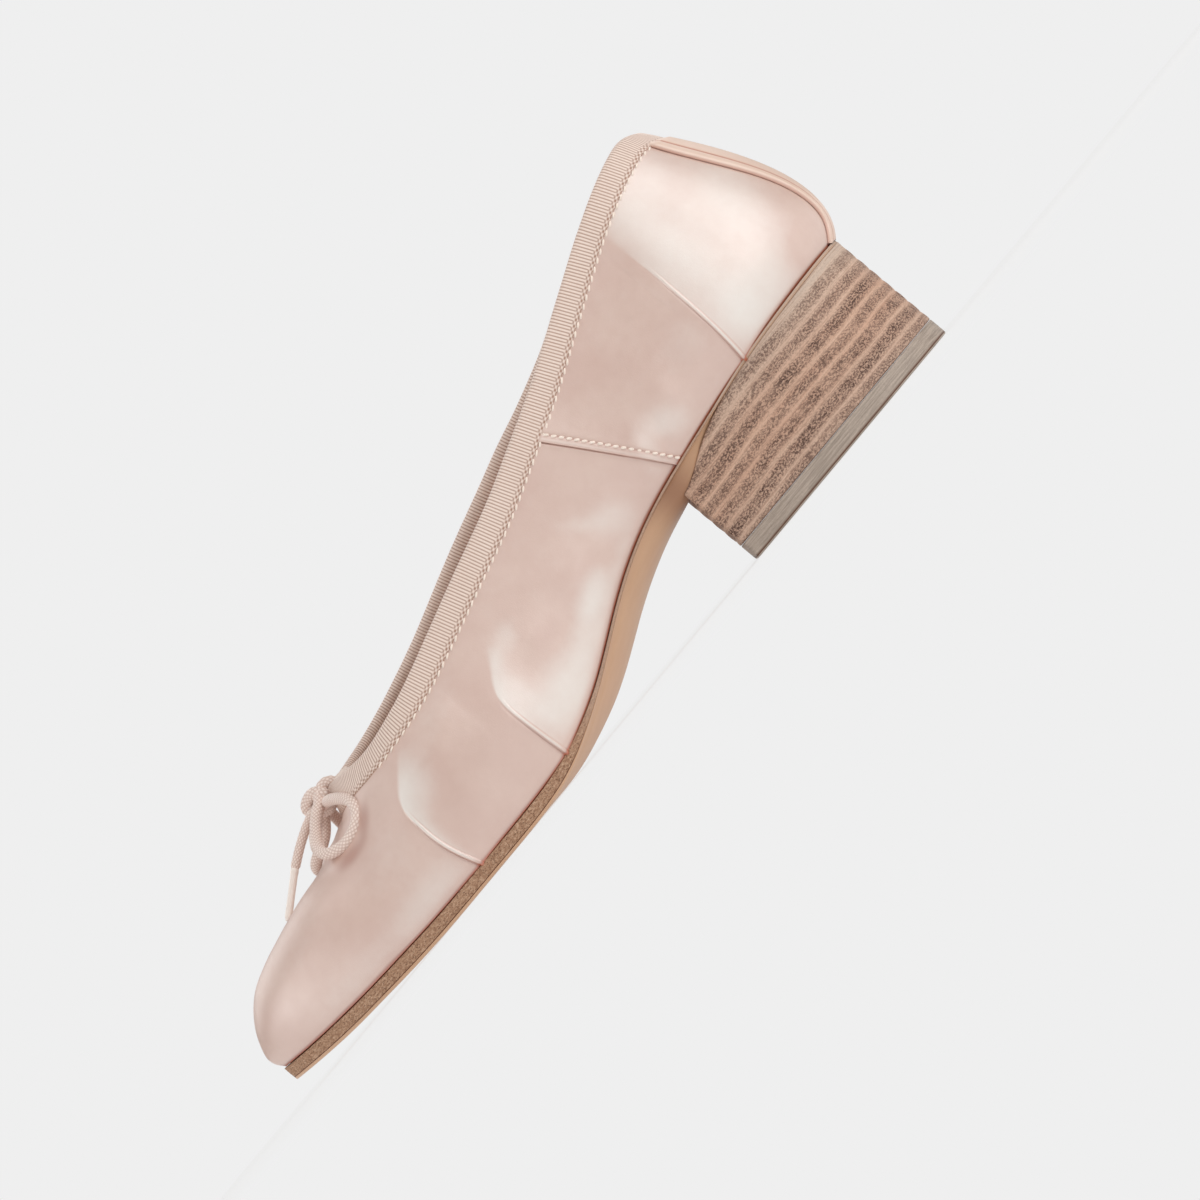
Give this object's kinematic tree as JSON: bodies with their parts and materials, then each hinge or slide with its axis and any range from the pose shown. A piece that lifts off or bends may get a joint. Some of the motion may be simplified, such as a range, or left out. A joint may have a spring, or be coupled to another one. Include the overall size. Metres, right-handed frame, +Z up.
{
  "type": "tabi ballet flat",
  "caption": "Split-toe ballet flat in blush satin on a low stacked block heel, with a ribbed band round the topline and a small cord bow at the throat.",
  "frame": {"origin": "on the ground under the middle of the shoe's bounding box", "axes": "+X from heel to toe, +Y to the outer (lateral) side of this left shoe, +Z up"},
  "size_m": [0.246, 0.08, 0.0906],
  "materials": {
    "satin": "blush satin cloth, lustrous along its folds",
    "satin_strip": "blush satin strip over the back seam",
    "grosgrain": "ribbed grosgrain band, matt",
    "cord": "knitted elastic cord, matt",
    "aglet": "translucent shrunk tip",
    "sole_leather": "tan sole leather, waxed brown edge",
    "sock_leather": "pale smooth sock leather",
    "stacked_leather": "stacked leather with dark layer lines",
    "grey_lift": "grey rubber lift"
  },
  "bodies": {
    "root": {"upper": "satin", "outsole": "sole_leather", "insole": "sock_leather", "heel_block": "stacked_leather", "heel_top_piece": "grey_lift", "collar_binding": "grosgrain", "back_strip": "satin_strip", "bow_knot": "cord", "bow_loop_lateral": "cord", "bow_loop_medial": "cord", "bow_end_lateral": "cord", "bow_end_medial": "cord", "aglet_lateral": "aglet", "aglet_medial": "aglet"}
  },
  "joints": []
}
